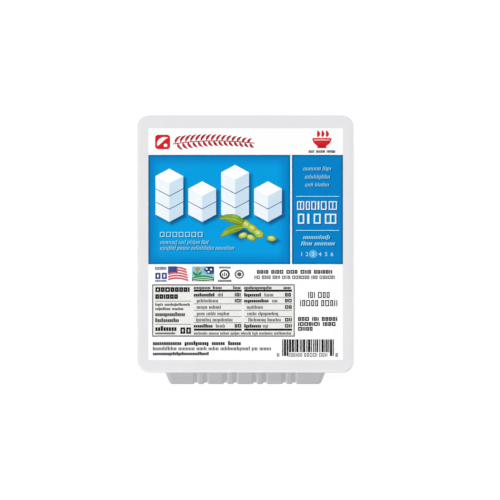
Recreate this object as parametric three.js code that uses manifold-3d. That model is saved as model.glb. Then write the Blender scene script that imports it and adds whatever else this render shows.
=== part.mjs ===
// Sealed tofu pack: a filled plastic tray with fluted, tapering walls, shut by a heat-sealed film.
// Millimetres, +Z up, +Y to the back. The origin is the middle of the foot, on the surface below.
import * as THREE from 'three';
import { mergeVertices } from 'three/addons/utils/BufferGeometryUtils.js';
import Module from 'manifold-3d';

const wasm = await Module();
wasm.setup();

// Whole pack, over the flange and the film
const packWidth = 108;
const packLength = 137;
const packHeight = 46;

// Film
const filmThickness = 0.4;
const filmInset = 1;            // flange left bare around the film

// Flange
const flangeCorner = 5.8;
const flangeThickness = 0.9;
const lipHeight = 1.3;          // turned-down edge, from the flange's top face
const lipWidth = 0.9;
const lipRound = 0.3;

// Walls, which lean outwards from the foot to the flange: the flange beyond them, then how far
// each stands from the middle, its draft and its flutes, placed in pitches from the wall's middle
const endOverhang = 6.5;
const sideOverhang = 9.5;
const endWall = {
  half: packLength / 2 - endOverhang,
  draft: THREE.MathUtils.degToRad(5),
  flutes: [-5, -4, -2, -1, 1, 2, 4, 5],
};
const sideWall = {
  half: packWidth / 2 - sideOverhang,
  draft: THREE.MathUtils.degToRad(8),
  flutes: [-8, -7, -5, -4, -2, -1, 1, 2, 4, 5, 7, 8],
};
const cornerAtFoot = 2;
const cornerAtFilm = 6;
const cornerLeast = 1;
const shoulderHeight = 39.5;    // where the wall steps out, so that nested trays come apart
const shoulderStep = 0.7;

// Foot: a flat rim around a shallow recess
const footRound = 1.2;
const footWidth = 5;
const recessDepth = 1.2;
const recessSlope = 1.2;

// Flutes: upright round grooves
const flutePitch = 4.9;
const fluteWidth = 2.7;
const fluteDepth = 1.15;
const fluteTop = 35;

// Fineness of the round stretches
const cornerDivisions = 4;
const roundSteps = 4;
const fluteFacets = 16;

const quarterTurn = Math.PI / 2;
const trayHeight = packHeight - filmThickness;

// A rectangle with round corners, drawn anticlockwise seen from above.
function roundedRectangle(halfX, halfY, radius) {
  const x = halfX - radius;
  const y = halfY - radius;
  const shape = new THREE.Shape();
  shape.absarc(x, y, radius, 0, quarterTurn);
  shape.absarc(-x, y, radius, quarterTurn, 2 * quarterTurn);
  shape.absarc(-x, -y, radius, 2 * quarterTurn, 3 * quarterTurn);
  shape.absarc(x, -y, radius, 3 * quarterTurn, 4 * quarterTurn);
  return shape;
}

// One level of a loft: its height and the points of its outline.
function level(z, halfX, halfY, radius) {
  return { z, points: roundedRectangle(halfX, halfY, radius).getPoints(cornerDivisions) };
}

// How far a wall stands from the middle of the pack at a height.
function reach(wall, z) {
  return wall.half - Math.tan(wall.draft) * (packHeight - z);
}

// The walls' outline at a height, moved inwards by a distance.
function wallLevel(z, inwards = 0) {
  const corner = THREE.MathUtils.lerp(cornerAtFoot, cornerAtFilm, z / packHeight) - inwards;
  return level(z, reach(sideWall, z) - inwards, reach(endWall, z) - inwards, Math.max(corner, cornerLeast));
}

// The flange's outline at a height, moved inwards by a distance.
function flangeLevel(z, inwards = 0) {
  return level(z, packWidth / 2 - inwards, packLength / 2 - inwards, flangeCorner - inwards);
}

// A closed solid through levels that have the same number of points, flat at both ends.
function loft(levels) {
  const count = levels[0].points.length;
  const positions = levels.flatMap(({ z, points }) => points.flatMap((point) => [point.x, point.y, z]));
  const indices = [];
  for (let row = 0; row < levels.length - 1; row++) {
    for (let i = 0; i < count; i++) {
      const a = row * count + i;
      const b = row * count + (i + 1) % count;
      indices.push(a, b, b + count, a, b + count, a + count);
    }
  }
  const lastRow = (levels.length - 1) * count;
  for (const [a, b, c] of THREE.ShapeUtils.triangulateShape(levels[0].points, [])) {
    indices.push(c, b, a);
  }
  for (const [a, b, c] of THREE.ShapeUtils.triangulateShape(levels.at(-1).points, [])) {
    indices.push(lastRow + a, lastRow + b, lastRow + c);
  }
  const geometry = new THREE.BufferGeometry();
  geometry.setAttribute('position', new THREE.Float32BufferAttribute(positions, 3));
  geometry.setIndex(indices);
  return geometry;
}

function toSolid(geometry) {
  const bare = geometry.clone();
  bare.deleteAttribute('normal');
  bare.deleteAttribute('uv');
  const merged = mergeVertices(bare);
  return new wasm.Manifold(new wasm.Mesh({
    numProp: 3,
    vertProperties: merged.attributes.position.array,
    triVerts: merged.index.array,
  }));
}

function toGeometry(solid) {
  const { vertProperties, triVerts } = solid.getMesh();
  const geometry = new THREE.BufferGeometry();
  geometry.setAttribute('position', new THREE.BufferAttribute(vertProperties, 3));
  geometry.setIndex(new THREE.BufferAttribute(triVerts, 1));
  return geometry;
}

// Rises and insets along a quarter round, from its flat end to its upright end.
function quarterRound(radius) {
  return Array.from({ length: roundSteps + 1 }, (_, step) => {
    const angle = quarterTurn * step / roundSteps;
    return { rise: radius * (1 - Math.cos(angle)), inset: radius * (1 - Math.sin(angle)) };
  });
}

// The filled tray before its flutes are cut, from the recess below to the flange on top.
function trayBody() {
  const flangeUnderside = trayHeight - flangeThickness;
  return loft([
    wallLevel(recessDepth, footRound + footWidth + recessSlope),
    wallLevel(0, footRound + footWidth),
    ...quarterRound(footRound).map(({ rise, inset }) => wallLevel(rise, inset)),
    wallLevel(shoulderHeight),
    wallLevel(shoulderHeight + shoulderStep, -shoulderStep),
    wallLevel(flangeUnderside, -shoulderStep),
    flangeLevel(flangeUnderside, lipWidth),
    flangeLevel(trayHeight - lipHeight, lipWidth),
    flangeLevel(trayHeight - lipHeight),
    ...quarterRound(lipRound).reverse().map(({ rise, inset }) => flangeLevel(trayHeight - rise, inset)),
  ]);
}

// One round bar laid up a wall that faces -Y, its lower end below the foot and its top end domed.
function fluteCutter(wall, across) {
  const radius = (fluteWidth ** 2 / 4 + fluteDepth ** 2) / (2 * fluteDepth);
  const middle = fluteTop / 2 - radius;
  const outside = (radius - fluteDepth) / Math.cos(wall.draft);
  return new THREE.CapsuleGeometry(radius, fluteTop / Math.cos(wall.draft), roundSteps, fluteFacets)
    .rotateX(quarterTurn)
    .rotateX(wall.draft)
    .translate(across, -reach(wall, middle) - outside, middle);
}

// The tray with a row of flutes cut into each of its four walls.
function flutedTray() {
  const cutters = [endWall, sideWall, endWall, sideWall].flatMap((wall, turns) => (
    wall.flutes.map((place) => fluteCutter(wall, place * flutePitch).rotateZ(turns * quarterTurn))
  ));
  return toGeometry(toSolid(trayBody()).subtract(wasm.Manifold.union(cutters.map(toSolid))));
}

// The film, flat on the flange and on the filling.
function filmPlate() {
  const outline = roundedRectangle(
    packWidth / 2 - filmInset, packLength / 2 - filmInset, flangeCorner - filmInset);
  return new THREE.ExtrudeGeometry(outline, {
    depth: filmThickness,
    bevelEnabled: false,
    curveSegments: cornerDivisions,
  }).translate(0, 0, trayHeight);
}

function part(name, geometry, material) {
  const mesh = new THREE.Mesh(geometry, material);
  mesh.name = name;
  return mesh;
}

const trayPlastic = new THREE.MeshStandardMaterial({ color: 0xe7e7e9, roughness: 0.45, metalness: 0 });
const printedFilm = new THREE.MeshStandardMaterial({ color: 0xf6f8fa, roughness: 0.3, metalness: 0 });

const pack = new THREE.Group();
pack.add(part('tray', flutedTray(), trayPlastic));
pack.add(part('lid_film', filmPlate(), printedFilm));

export default pack;
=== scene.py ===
"""Sealed tofu pack: a white fluted tray, filled and shut by a printed film sealed to its flange.

Everything is in metres, in the part's own frame: +Z up, +Y to the back, the origin under the pack.
The label is laid out in millimetres: u across and v down, from its top left corner.
"""

import math
import random
from collections import namedtuple

import bmesh
import bpy
from mathutils import Matrix, Vector, noise


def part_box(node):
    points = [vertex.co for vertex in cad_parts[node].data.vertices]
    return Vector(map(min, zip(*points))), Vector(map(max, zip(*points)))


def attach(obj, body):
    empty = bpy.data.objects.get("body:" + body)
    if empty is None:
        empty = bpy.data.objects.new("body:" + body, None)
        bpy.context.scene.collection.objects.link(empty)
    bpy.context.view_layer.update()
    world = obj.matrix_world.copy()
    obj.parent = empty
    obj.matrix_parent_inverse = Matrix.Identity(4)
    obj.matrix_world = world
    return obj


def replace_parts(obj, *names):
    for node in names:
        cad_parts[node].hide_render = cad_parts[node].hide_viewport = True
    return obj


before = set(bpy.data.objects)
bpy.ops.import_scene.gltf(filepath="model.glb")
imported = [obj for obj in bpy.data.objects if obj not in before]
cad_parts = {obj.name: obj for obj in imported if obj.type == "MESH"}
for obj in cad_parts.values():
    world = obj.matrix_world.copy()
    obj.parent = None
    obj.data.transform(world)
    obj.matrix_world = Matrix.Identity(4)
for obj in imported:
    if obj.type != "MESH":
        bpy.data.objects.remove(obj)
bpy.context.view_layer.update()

MM = 0.001
TINY = 0.002 * MM
CREASE_ANGLE = math.radians(40)
LARGE_FACE = 1e-3                       # a face of more square metres than this is shaded flat

# ---------------------------------------------------------------------------------------------
# Sizes of the pack
# ---------------------------------------------------------------------------------------------

TRAY_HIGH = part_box("tray")[1]
FILM_LOW, FILM_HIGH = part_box("lid_film")
PACK_HEIGHT = FILM_HIGH.z
TRAY_TOP = TRAY_HIGH.z
FLANGE_HALF = (TRAY_HIGH.x, TRAY_HIGH.y)

FLANGE_CORNER = 5.8 * MM
FLANGE_THICKNESS = 0.9 * MM
LIP_HEIGHT = 1.3 * MM
LIP_WIDTH = 0.9 * MM
LIP_ROUND = 0.3 * MM
LIP_INNER_ROUND = 0.15 * MM

OVERHANG = (9.5 * MM, 6.5 * MM)         # flange beyond the side and the end walls
DRAFT = (math.radians(8), math.radians(5))
CORNER_AT_FOOT = 2 * MM
CORNER_AT_FILM = 6 * MM
CORNER_LEAST = 1 * MM
SHOULDER_HEIGHT = 39.5 * MM
SHOULDER_STEP = 0.7 * MM
SHOULDER_BEND = (-0.3 * MM, 1 * MM)     # where its soft step starts and ends, from its height
STRAIGHT_TO = SHOULDER_HEIGHT - 0.6 * MM
WALL_FILLET = 1 * MM                    # under the flange

FOOT_ROUND = 1.2 * MM
FOOT_WIDTH = 5 * MM
RECESS_DEPTH = 1.2 * MM
RECESS_SLOPE = 1.2 * MM

FLUTE_PITCH = 4.9 * MM
FLUTE_DEPTH = 1.15 * MM
FLUTE_FLOOR = 0.2 * MM                  # half width of a flute's floor
FLUTE_EDGE = 1.7 * MM                   # half width of a flute at the wall's face
FLUTE_TOP = 33.5 * MM                   # middle of a flute's domed end
# In pitches from a wall's middle, on the side and on the end walls
FLUTES = ((-8, -7, -5, -4, -2, -1, 1, 2, 4, 5, 7, 8), (-5, -4, -2, -1, 1, 2, 4, 5))
FLUTED_HEIGHTS = (3, 8, 14, 20, 26, 30)     # millimetres, below the domed ends

# In how many steps each round stretch is made
CORNER_SEGMENTS = 10
SLOPE_STEPS = 6
FOOT_STEPS = 6
DOME_STEPS = 7
FLUTE_STEPS = 6                         # from a flute's middle to its edge
FILLET_STEPS = 5
LIP_STEPS = 4
LIP_INNER_STEPS = 3

FILM_CORNER = FLANGE_CORNER - (FLANGE_HALF[0] - FILM_HIGH.x)
FILM_LEVEL = 45.8 * MM                  # the film's face over the filling
SEAL_LEVEL = 45.7 * MM                  # and where it is pressed onto the flange
SEAL_STEP = 2.5 * MM
FILM_CELL = 1.5 * MM
FILM_WAVE = 0.045 * MM
BROAD_WAVES = (28, 17, 3.1)             # how often in a metre across and along, and their seed
SMALL_WAVES = (70, 60, 9.7)
SMALL_WAVES_SHARE = 0.4

# ---------------------------------------------------------------------------------------------
# Small tools
# ---------------------------------------------------------------------------------------------


def smooth(low, high, value):
    """0 below low, 1 above high, and an even S between them."""
    t = min(max((value - low) / (high - low), 0.0), 1.0)
    return t * t * (3 - 2 * t)


def lerp(a, b, t):
    """A value a share t of the way from a to b."""
    return a + (b - a) * t


def reach(axis, z):
    """How far a wall stands from the middle of the pack at a height: axis 0 the sides, 1 the ends."""
    return FLANGE_HALF[axis] - OVERHANG[axis] - math.tan(DRAFT[axis]) * (PACK_HEIGHT - z)


def new_piece(bm, name, material):
    """Turns a bmesh into a named object that rides on the pack and has one finish."""
    bmesh.ops.recalc_face_normals(bm, faces=bm.faces)
    for face in bm.faces:
        face.smooth = face.calc_area() < LARGE_FACE
    for edge in bm.edges:
        edge.smooth = edge.calc_face_angle(0) < CREASE_ANGLE
    mesh = bpy.data.meshes.new(name)
    bm.to_mesh(mesh)
    bm.free()
    mesh.materials.append(material)
    piece = bpy.data.objects.new(name, mesh)
    bpy.context.scene.collection.objects.link(piece)
    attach(piece, "root")
    return piece


# ---------------------------------------------------------------------------------------------
# Node tools
# ---------------------------------------------------------------------------------------------


def feed(tree, socket, value):
    """Links a socket's value, or sets it when it is a plain number or colour."""
    if isinstance(value, bpy.types.NodeSocket):
        tree.links.new(value, socket)
    else:
        socket.default_value = value


def add_node(tree, kind, inputs=None, **settings):
    """A node of a kind, with its settings made and its inputs fed."""
    made = tree.nodes.new(kind)
    for key, value in settings.items():
        setattr(made, key, value)
    for key, value in (inputs or {}).items():
        feed(tree, made.inputs[key], value)
    return made


def calc(tree, operation, *values):
    """The result of one operation on values."""
    made = tree.nodes.new("ShaderNodeMath")
    made.operation = operation
    for socket, value in zip(made.inputs, values):
        feed(tree, socket, value)
    return made.outputs[0]


def spread(tree, value, from_low, from_high, to_low=0.0, to_high=1.0):
    """A value eased from one range to another."""
    made = add_node(
        tree, "ShaderNodeMapRange", interpolation_type="SMOOTHSTEP",
        inputs={0: value, 1: from_low, 2: from_high, 3: to_low, 4: to_high},
    )
    return made.outputs[0]


def blend_colours(tree, factor, first, second):
    """The first colour, turning into the second as the factor rises to 1."""
    made = add_node(tree, "ShaderNodeMix", data_type="RGBA", inputs={0: factor, 6: first, 7: second})
    return made.outputs[2]


def grain(tree, position, scale, detail=2.0):
    """Soft noise around 0.5 that comes so many times in a metre."""
    made = add_node(
        tree, "ShaderNodeTexNoise",
        inputs={"Vector": position, "Scale": scale, "Detail": detail, "Roughness": 0.55},
    )
    return made.outputs["Fac"]


def new_group(name, inputs, outputs):
    """A shader node group with named sockets, and its input and output nodes."""
    kinds = {"value": "NodeSocketFloat", "colour": "NodeSocketColor", "vector": "NodeSocketVector"}
    tree = bpy.data.node_groups.new(name, "ShaderNodeTree")
    for label, kind in inputs.items():
        tree.interface.new_socket(label, in_out="INPUT", socket_type=kinds[kind])
    for label, kind in outputs.items():
        tree.interface.new_socket(label, in_out="OUTPUT", socket_type=kinds[kind])
    taken = tree.nodes.new("NodeGroupInput").outputs
    given = tree.nodes.new("NodeGroupOutput").inputs
    return tree, taken, given


def use_group(tree, group, **inputs):
    """Places a group in a material with its own values; an underscore stands for a space."""
    made = tree.nodes.new("ShaderNodeGroup")
    made.node_tree = group
    for key, value in inputs.items():
        feed(tree, made.inputs[key.replace("_", " ")], value)
    return made.outputs


def srgb(red, green, blue):
    """A colour as it should look, 0 to 255, in the linear values that nodes take."""
    def linear(value):
        value /= 255
        return value / 12.92 if value <= 0.04045 else ((value + 0.055) / 1.055) ** 2.4
    return (linear(red), linear(green), linear(blue), 1.0)


# ---------------------------------------------------------------------------------------------
# Shared effects
# ---------------------------------------------------------------------------------------------

# How often each pattern comes in a metre
INK_CLOUDS = 140.0
INK_SPECKS = 3200.0
FILM_RIPPLES = 95.0
FILM_SKIN = 900.0
FILM_SMEARS = 45.0
PLASTIC_CLOUDS = 60.0
PLASTIC_SKIN = 2600.0
PLASTIC_MARKS = 420.0


def make_ink_tone():
    """Ink on film: an uneven lay of ink in broad clouds, with fine specks."""
    tree, taken, given = new_group(
        "ink_tone", {"Position": "vector", "Ink": "colour", "Thin Ink": "colour", "Unevenness": "value"},
        {"Colour": "colour"})
    clouds = grain(tree, taken["Position"], INK_CLOUDS, 3.0)
    specks = grain(tree, taken["Position"], INK_SPECKS, 1.0)
    both = calc(tree, "ADD", calc(tree, "MULTIPLY", clouds, 0.7), calc(tree, "MULTIPLY", specks, 0.3))
    amount = calc(tree, "MULTIPLY", spread(tree, both, 0.38, 0.66), taken["Unevenness"])
    tree.links.new(blend_colours(tree, amount, taken["Ink"], taken["Thin Ink"]), given["Colour"])
    return tree


def make_film_gloss():
    """Stretched film: slight pulls and ripples, and gloss dulled here and there by handling."""
    tree, taken, given = new_group(
        "film_gloss", {"Position": "vector", "Roughness": "value", "Dulling": "value"},
        {"Roughness": "value", "Height": "value"})
    stretched = add_node(
        tree, "ShaderNodeMapping", inputs={"Vector": taken["Position"], "Scale": (1.0, 0.35, 1.0)})
    ripples = grain(tree, stretched.outputs[0], FILM_RIPPLES)
    skin = grain(tree, taken["Position"], FILM_SKIN)
    smears = spread(tree, grain(tree, taken["Position"], FILM_SMEARS, 3.0), 0.42, 0.7)
    dulled = calc(tree, "MULTIPLY_ADD", smears, taken["Dulling"], taken["Roughness"])
    height = calc(tree, "MULTIPLY_ADD", skin, 0.06, ripples)
    tree.links.new(dulled, given["Roughness"])
    tree.links.new(height, given["Height"])
    return tree


def make_seal_press():
    """The press mark of a heat seal: a fine crossed grid of shallow pits."""
    tree, taken, given = new_group(
        "seal_press", {"Position": "vector", "Pitch": "value"}, {"Height": "value"})
    turned = add_node(
        tree, "ShaderNodeMapping",
        inputs={"Vector": taken["Position"], "Rotation": (0, 0, math.radians(45))})
    axes = add_node(tree, "ShaderNodeSeparateXYZ", inputs={0: turned.outputs[0]})
    ridges = []
    for axis in ("X", "Y"):
        turn = calc(tree, "MULTIPLY", axes.outputs[axis], math.tau)
        ridge = calc(tree, "SINE", calc(tree, "DIVIDE", turn, taken["Pitch"]))
        ridges.append(calc(tree, "ABSOLUTE", ridge))
    tree.links.new(calc(tree, "MULTIPLY", *ridges), given["Height"])
    return tree


def make_pressed_in():
    """0 on the side and end walls' faces, rising to 1 where their flutes are pressed in."""
    tree, taken, given = new_group(
        "pressed_in",
        {"Position": "vector", "Depth": "value", "Side Reach": "value", "Side Lean": "value",
         "Side Span": "value", "End Reach": "value", "End Lean": "value", "End Span": "value"},
        {"Mask": "value"})
    axes = add_node(tree, "ShaderNodeSeparateXYZ", inputs={0: taken["Position"]}).outputs
    masks = []
    for wall, across, along in (("Side", "X", "Y"), ("End", "Y", "X")):
        face = calc(tree, "MULTIPLY_ADD", axes["Z"], taken[wall + " Lean"], taken[wall + " Reach"])
        sunk = calc(tree, "SUBTRACT", face, calc(tree, "ABSOLUTE", axes[across]))
        share = calc(tree, "DIVIDE", sunk, taken["Depth"])
        within = calc(tree, "LESS_THAN", calc(tree, "ABSOLUTE", axes[along]), taken[wall + " Span"])
        inner = calc(tree, "MULTIPLY", spread(tree, share, 1.2, 2.0, 1.0, 0.0), within)
        masks.append(calc(tree, "MULTIPLY", spread(tree, share, 0.05, 0.7), inner))
    tree.links.new(calc(tree, "MAXIMUM", *masks), given["Mask"])
    return tree


def make_moulded_plastic():
    """Thermoformed plastic: its own white at the flange, with painted shade on the walls, deeper towards
    the foot, and painted light in the flutes.
    """
    tree, taken, given = new_group(
        "moulded_plastic",
        {"Position": "vector", "Plastic": "colour", "Thin Plastic": "colour", "Foot Tint": "colour",
         "Flute Tint": "colour", "Flutes": "value", "Thin Below": "value", "Change Over": "value",
         "Foot Height": "value", "Roughness": "value"},
        {"Colour": "colour", "Roughness": "value", "Height": "value"})
    clouds = grain(tree, taken["Position"], PLASTIC_CLOUDS, 3.0)
    skin = grain(tree, taken["Position"], PLASTIC_SKIN)
    drawn = add_node(
        tree, "ShaderNodeMapping", inputs={"Vector": taken["Position"], "Scale": (1.0, 1.0, 0.05)})
    marks = grain(tree, drawn.outputs[0], PLASTIC_MARKS)
    height_up = add_node(tree, "ShaderNodeSeparateXYZ", inputs={0: taken["Position"]}).outputs["Z"]
    # Painted shade: below the flange's top the walls blend to a darker colour that stands in for their
    # shade
    below = calc(tree, "SUBTRACT", taken["Thin Below"], height_up)
    drop = calc(tree, "DIVIDE", below, taken["Change Over"])
    cloudy = calc(tree, "MULTIPLY_ADD", spread(tree, clouds, 0.35, 0.7), 0.12, drop)
    walls = blend_colours(
        tree, spread(tree, cloudy, 0.0, 1.12), taken["Plastic"], taken["Thin Plastic"])
    # Painted shade: darker towards the foot, standing in for the contact shadow at the floor
    near_foot = spread(tree, calc(tree, "DIVIDE", height_up, taken["Foot Height"]), 0.2, 1.0, 1.0, 0.0)
    foot_shaded = blend_colours(tree, near_foot, walls, taken["Foot Tint"])
    # Painted light: lighter inside the flutes, offsetting the shade in them
    colour = blend_colours(tree, taken["Flutes"], foot_shaded, taken["Flute Tint"])
    dulled = calc(tree, "MULTIPLY_ADD", spread(tree, clouds, 0.3, 0.7), 0.1, taken["Roughness"])
    height = calc(tree, "MULTIPLY_ADD", marks, 0.5, calc(tree, "MULTIPLY", skin, 0.35))
    tree.links.new(colour, given["Colour"])
    tree.links.new(dulled, given["Roughness"])
    tree.links.new(height, given["Height"])
    return tree


def make_box_fade():
    """0 at a rectangle's edge, rising to 1 at a given distance inside it."""
    tree, taken, given = new_group(
        "box_fade",
        {"Position": "vector", "Middle X": "value", "Middle Y": "value",
         "Half Width": "value", "Half Height": "value", "Reach": "value"},
        {"Mask": "value"})
    axes = add_node(tree, "ShaderNodeSeparateXYZ", inputs={0: taken["Position"]})
    rooms = []
    for axis, middle, half in (("X", "Middle X", "Half Width"), ("Y", "Middle Y", "Half Height")):
        away = calc(tree, "ABSOLUTE", calc(tree, "SUBTRACT", axes.outputs[axis], taken[middle]))
        room = calc(tree, "DIVIDE", calc(tree, "SUBTRACT", taken[half], away), taken["Reach"])
        rooms.append(spread(tree, room, 0.0, 1.0))
    tree.links.new(calc(tree, "MULTIPLY", *rooms), given["Mask"])
    return tree


def make_stack_shadow():
    """The soft shadow of an upright hexagon: 1 well within it, 0 outside."""
    tree, taken, given = new_group(
        "stack_shadow",
        {"Position": "vector", "Middle X": "value", "Middle Y": "value",
         "Half Width": "value", "Half Height": "value", "Softness": "value"},
        {"Mask": "value"})
    axes = add_node(tree, "ShaderNodeSeparateXYZ", inputs={0: taken["Position"]})
    x = calc(tree, "ABSOLUTE", calc(tree, "SUBTRACT", axes.outputs["X"], taken["Middle X"]))
    y = calc(tree, "ABSOLUTE", calc(tree, "SUBTRACT", axes.outputs["Y"], taken["Middle Y"]))
    under_slope = calc(tree, "MULTIPLY_ADD", x, math.tan(math.pi / 6), y)
    sunk = calc(tree, "SUBTRACT", under_slope, taken["Half Height"])
    slanted = calc(tree, "MULTIPLY", sunk, math.cos(math.pi / 6))
    beyond = calc(tree, "MAXIMUM", calc(tree, "SUBTRACT", x, taken["Half Width"]), slanted)
    share = calc(tree, "DIVIDE", beyond, taken["Softness"])
    tree.links.new(spread(tree, share, -1.0, 1.0, 1.0, 0.0), given["Mask"])
    return tree


INK_TONE = make_ink_tone()
FILM_GLOSS = make_film_gloss()
SEAL_PRESS = make_seal_press()
PRESSED_IN = make_pressed_in()
MOULDED_PLASTIC = make_moulded_plastic()
BOX_FADE = make_box_fade()
STACK_SHADOW = make_stack_shadow()

# ---------------------------------------------------------------------------------------------
# Finishes
# ---------------------------------------------------------------------------------------------

FILM_ROUGHNESS = 0.34
FILM_DULLING = 0.12
FILM_RIPPLE = 0.05 * MM                 # height of the film's ripples
PRINT_SPECULAR = 0.05
BARE_FILM_SPECULAR = 0.3
SEAL_PITCH = 1.1 * MM
PLASTIC_RELIEF = 0.03 * MM
PLASTIC_SPECULAR = 0.4


def new_material(name, colour):
    """A material with its shader and its position on the pack, shown flat in one colour."""
    material = bpy.data.materials.new(name)
    material.use_nodes = True
    material.diffuse_color = colour
    tree = material.node_tree
    shader = tree.nodes["Principled BSDF"]
    position = tree.nodes.new("ShaderNodeTexCoord").outputs["Object"]
    return material, tree, shader, position


def give_bump(tree, shader, height, distance):
    """Relief that is as deep as the distance where the height is 1."""
    bump = add_node(tree, "ShaderNodeBump", inputs={"Height": height, "Distance": distance})
    tree.links.new(bump.outputs[0], shader.inputs["Normal"])


def give_film_finish(tree, shader, position):
    """The gloss and the ripples that every ink shares, because it lies under the same film."""
    gloss = use_group(
        tree, FILM_GLOSS, Position=position, Roughness=FILM_ROUGHNESS, Dulling=FILM_DULLING)
    tree.links.new(gloss["Roughness"], shader.inputs["Roughness"])
    give_bump(tree, shader, gloss["Height"], FILM_RIPPLE)
    shader.inputs["Specular IOR Level"].default_value = PRINT_SPECULAR


def make_ink(name, ink, thin_ink, unevenness=0.5):
    """One ink under the film, with the colour that it has where it lies thin."""
    material, tree, shader, position = new_material(name, ink)
    tone = use_group(
        tree, INK_TONE, Position=position, Ink=ink, Thin_Ink=thin_ink, Unevenness=unevenness)
    tree.links.new(tone["Colour"], shader.inputs["Base Color"])
    give_film_finish(tree, shader, position)
    return material


def make_tray_plastic():
    """White plastic, with painted shade on its walls and foot and painted light where the flutes press
    in.
    """
    # The flange's own white, then the walls' darker colour, which is painted shade
    plastic, thin = srgb(229, 229, 231), srgb(183, 183, 186)
    # Painted light for inside the flutes, and painted shade for the foot
    flute_light, foot = srgb(196, 196, 199), srgb(162, 162, 165)
    material, tree, shader, position = new_material("tray_plastic", plastic)
    spans = [(max(places) + 1) * FLUTE_PITCH for places in FLUTES]
    flutes = use_group(
        tree, PRESSED_IN, Position=position, Depth=FLUTE_DEPTH,
        Side_Reach=reach(0, 0), Side_Lean=math.tan(DRAFT[0]), Side_Span=spans[0],
        End_Reach=reach(1, 0), End_Lean=math.tan(DRAFT[1]), End_Span=spans[1])
    mould = use_group(
        tree, MOULDED_PLASTIC, Position=position, Plastic=plastic, Thin_Plastic=thin,
        Flute_Tint=flute_light, Flutes=flutes["Mask"], Foot_Tint=foot,
        # The painted wall shade starts just under the flange's top and deepens over 1.7 mm; the painted
        # foot shade fades out 4 mm up
        Thin_Below=TRAY_TOP - 0.1 * MM, Change_Over=1.7 * MM, Foot_Height=4 * MM, Roughness=0.42)
    tree.links.new(mould["Colour"], shader.inputs["Base Color"])
    tree.links.new(mould["Roughness"], shader.inputs["Roughness"])
    give_bump(tree, shader, mould["Height"], PLASTIC_RELIEF)
    shader.inputs["Specular IOR Level"].default_value = PLASTIC_SPECULAR
    return material


def make_clear_film():
    """Film with no ink, which shows the white flange that it is pressed onto."""
    over_flange, thin = srgb(229, 229, 231), srgb(224, 224, 227)
    material, tree, shader, position = new_material("clear_film", over_flange)
    tone = use_group(
        tree, INK_TONE, Position=position, Ink=over_flange, Thin_Ink=thin, Unevenness=0.4)
    tree.links.new(tone["Colour"], shader.inputs["Base Color"])
    gloss = use_group(
        tree, FILM_GLOSS, Position=position, Roughness=FILM_ROUGHNESS, Dulling=FILM_DULLING)
    tree.links.new(gloss["Roughness"], shader.inputs["Roughness"])
    press = use_group(tree, SEAL_PRESS, Position=position, Pitch=SEAL_PITCH)
    height = calc(tree, "MULTIPLY_ADD", press["Height"], 0.3, gloss["Height"])
    give_bump(tree, shader, height, FILM_RIPPLE)
    shader.inputs["Specular IOR Level"].default_value = BARE_FILM_SPECULAR
    return material


WHITE_INK = make_ink("white_ink", srgb(252, 252, 252), srgb(249, 249, 249), 0.4)
BLACK_INK = make_ink("black_ink", srgb(16, 17, 20), srgb(38, 39, 44), 0.6)
TRAY_PLASTIC = make_tray_plastic()
CLEAR_FILM = make_clear_film()

# ---------------------------------------------------------------------------------------------
# Tray
# ---------------------------------------------------------------------------------------------


# An outline of the tray: its height, its half sizes and its corners' radius
Level = namedtuple("Level", "z half corner")


def wall_level(z, inwards=0.0):
    """The walls' outline at a height, moved inwards."""
    corner = lerp(CORNER_AT_FOOT, CORNER_AT_FILM, z / PACK_HEIGHT) - inwards
    return Level(z, (reach(0, z) - inwards, reach(1, z) - inwards), max(corner, CORNER_LEAST))


def flange_level(z, inwards=0.0):
    """The flange's outline at a height, moved inwards."""
    return Level(z, (FLANGE_HALF[0] - inwards, FLANGE_HALF[1] - inwards), FLANGE_CORNER - inwards)


def quarter(steps):
    """Sine and cosine along a quarter turn."""
    angles = [math.pi / 2 * step / steps for step in range(steps + 1)]
    return [(math.sin(angle), math.cos(angle)) for angle in angles]


def wall_levels():
    """From the recess under the tray, round the foot, up the wall and over its shoulder."""
    foot_inner = FOOT_ROUND + FOOT_WIDTH
    slope = [step / SLOPE_STEPS for step in range(SLOPE_STEPS + 1)]
    levels = [
        wall_level(RECESS_DEPTH * (1 - smooth(0, 1, t)), foot_inner + RECESS_SLOPE * (1 - t))
        for t in slope
    ]
    levels += [
        wall_level(FOOT_ROUND * (1 - c), FOOT_ROUND * (1 - s)) for s, c in quarter(FOOT_STEPS)
    ]
    levels += [wall_level(z * MM) for z in FLUTED_HEIGHTS]
    levels += [
        wall_level(FLUTE_TOP + FLUTE_EDGE * step / DOME_STEPS) for step in range(DOME_STEPS + 1)
    ]
    levels.append(wall_level(STRAIGHT_TO))
    levels += [
        wall_level(SHOULDER_HEIGHT + lerp(*SHOULDER_BEND, t), -SHOULDER_STEP * smooth(0, 1, t))
        for t in slope
    ]
    return levels


def flange_levels():
    """From the wall's fillet along the flange's underside, round the lip, to its top face."""
    underside = TRAY_TOP - FLANGE_THICKNESS
    lip_foot = TRAY_TOP - LIP_HEIGHT
    levels = [
        wall_level(underside - WALL_FILLET * (1 - s), -SHOULDER_STEP - WALL_FILLET * (1 - c))
        for s, c in quarter(FILLET_STEPS)
    ]
    levels += [
        flange_level(underside - LIP_INNER_ROUND * (1 - c), LIP_WIDTH + LIP_INNER_ROUND * (1 - s))
        for s, c in quarter(LIP_INNER_STEPS)
    ]
    levels += [
        flange_level(lip_foot + LIP_INNER_ROUND * (1 - s), LIP_WIDTH - LIP_INNER_ROUND * (1 - c))
        for s, c in quarter(LIP_INNER_STEPS)
    ]
    levels += [
        flange_level(lip_foot + LIP_ROUND * (1 - c), LIP_ROUND * (1 - s)) for s, c in quarter(LIP_STEPS)
    ]
    levels += [
        flange_level(TRAY_TOP - LIP_ROUND * (1 - s), LIP_ROUND * (1 - c)) for s, c in quarter(LIP_STEPS)
    ]
    return levels


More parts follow.
